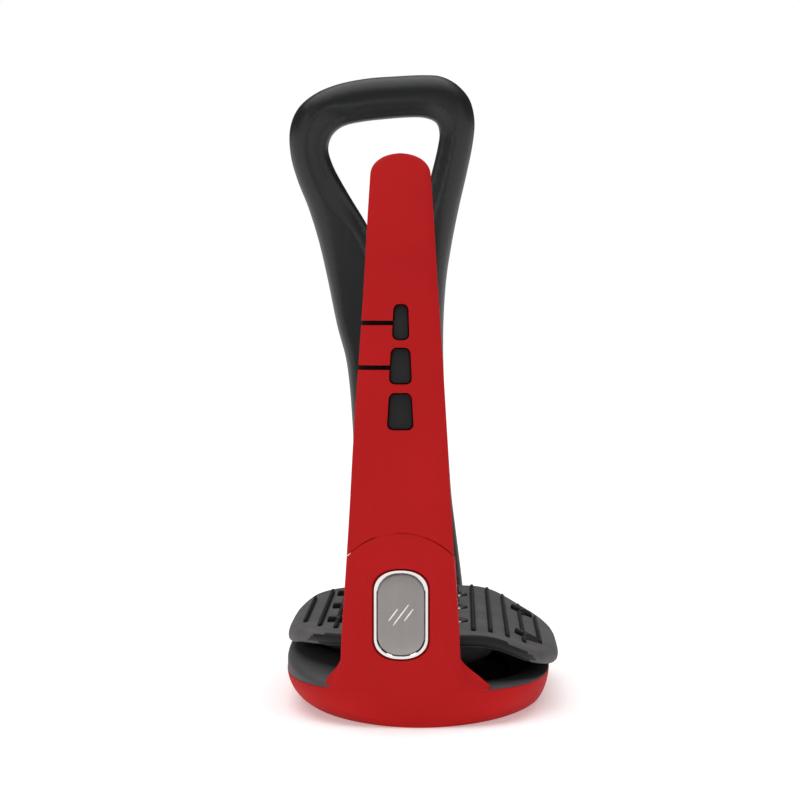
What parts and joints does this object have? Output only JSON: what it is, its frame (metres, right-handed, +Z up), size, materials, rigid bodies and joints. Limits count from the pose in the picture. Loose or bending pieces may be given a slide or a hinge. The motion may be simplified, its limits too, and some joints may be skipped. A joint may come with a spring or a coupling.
{
  "type": "riding stirrup",
  "caption": "Left-hand safety stirrup for riding: black inner branch with leather eye, outer branch that flexes open, red base cover and a tilting ribbed tread.",
  "frame": {"origin": "centre of the flat sole on the floor, under the centre line of the two branches", "axes": "+X to the heel side, -X to the toe, -Y to the outer side, +Y to the horse, +Z up along the stirrup"},
  "size_m": [0.0719, 0.135, 0.1644],
  "materials": {
    "red_cover": "matte red moulded cover",
    "deck_grey": "dark grey casting",
    "black_polyamide": "satin black glass-filled polyamide",
    "black_elastomer": "matte black elastomer",
    "grey_rubber": "matte dark grey rubber",
    "dark_steel": "blackened steel",
    "brushed_plate": "brushed warm grey plate",
    "polished_steel": "polished",
    "steel": "plain steel"
  },
  "bodies": {
    "base": {"base_cover": "red_cover", "badge_bezel": "polished_steel", "badge_plate": "brushed_plate", "base_body": "deck_grey", "frame_arch": "black_polyamide", "sole_plate": "black_polyamide", "blade_root": "steel", "blade_clamp": "steel", "pitch_axle": "steel", "blade_screw_1": "steel", "sole_screw_1": "steel", "bump_stop_1": "black_elastomer", "blade_screw_2": "steel", "sole_screw_2": "steel", "bump_stop_2": "black_elastomer", "blade_screw_3": "steel", "sole_screw_3": "steel", "bump_stop_3": "black_elastomer", "blade_screw_4": "steel", "sole_screw_4": "steel", "bump_stop_4": "black_elastomer", "frame_screw_1": "steel", "axle_clip_1": "steel", "frame_screw_2": "steel", "axle_clip_2": "steel"},
    "trunnion": {"trunnion_block": "steel", "roll_axle": "steel"},
    "tread": {"tread_pad": "grey_rubber", "tread_plate": "steel", "rocker_bowl": "black_polyamide", "tread_screw_1": "polished_steel", "tread_screw_2": "polished_steel", "tread_screw_3": "polished_steel", "tread_screw_4": "polished_steel", "tread_screw_5": "polished_steel", "tread_screw_6": "polished_steel", "grip_stud_1": "dark_steel", "grip_stud_2": "dark_steel", "grip_stud_3": "dark_steel", "grip_stud_4": "dark_steel", "grip_stud_5": "dark_steel"},
    "outer_branch": {"branch_cover": "red_cover", "branch_core": "black_elastomer", "spring_blade": "steel"}
  },
  "joints": [
    {"name": "tread_pitch", "type": "hinge", "parent": "base", "child": "trunnion", "pos_m": [0.005, 0, 0.0072], "axis": [0, 1, 0], "range_deg": [-1.8, 1.8], "stiffness_Nm_per_rad": 3},
    {"name": "tread_roll", "type": "hinge", "parent": "trunnion", "child": "tread", "pos_m": [0.005, 0, 0.0116], "axis": [1, 0, 0], "range_deg": [-1.8, 1.8], "stiffness_Nm_per_rad": 3},
    {"name": "outer_branch_release", "type": "hinge", "parent": "base", "child": "outer_branch", "pos_m": [0, -0.0675, 0.043], "axis": [1, 0, 0], "range_deg": [0, 45], "stiffness_Nm_per_rad": 4}
  ]
}
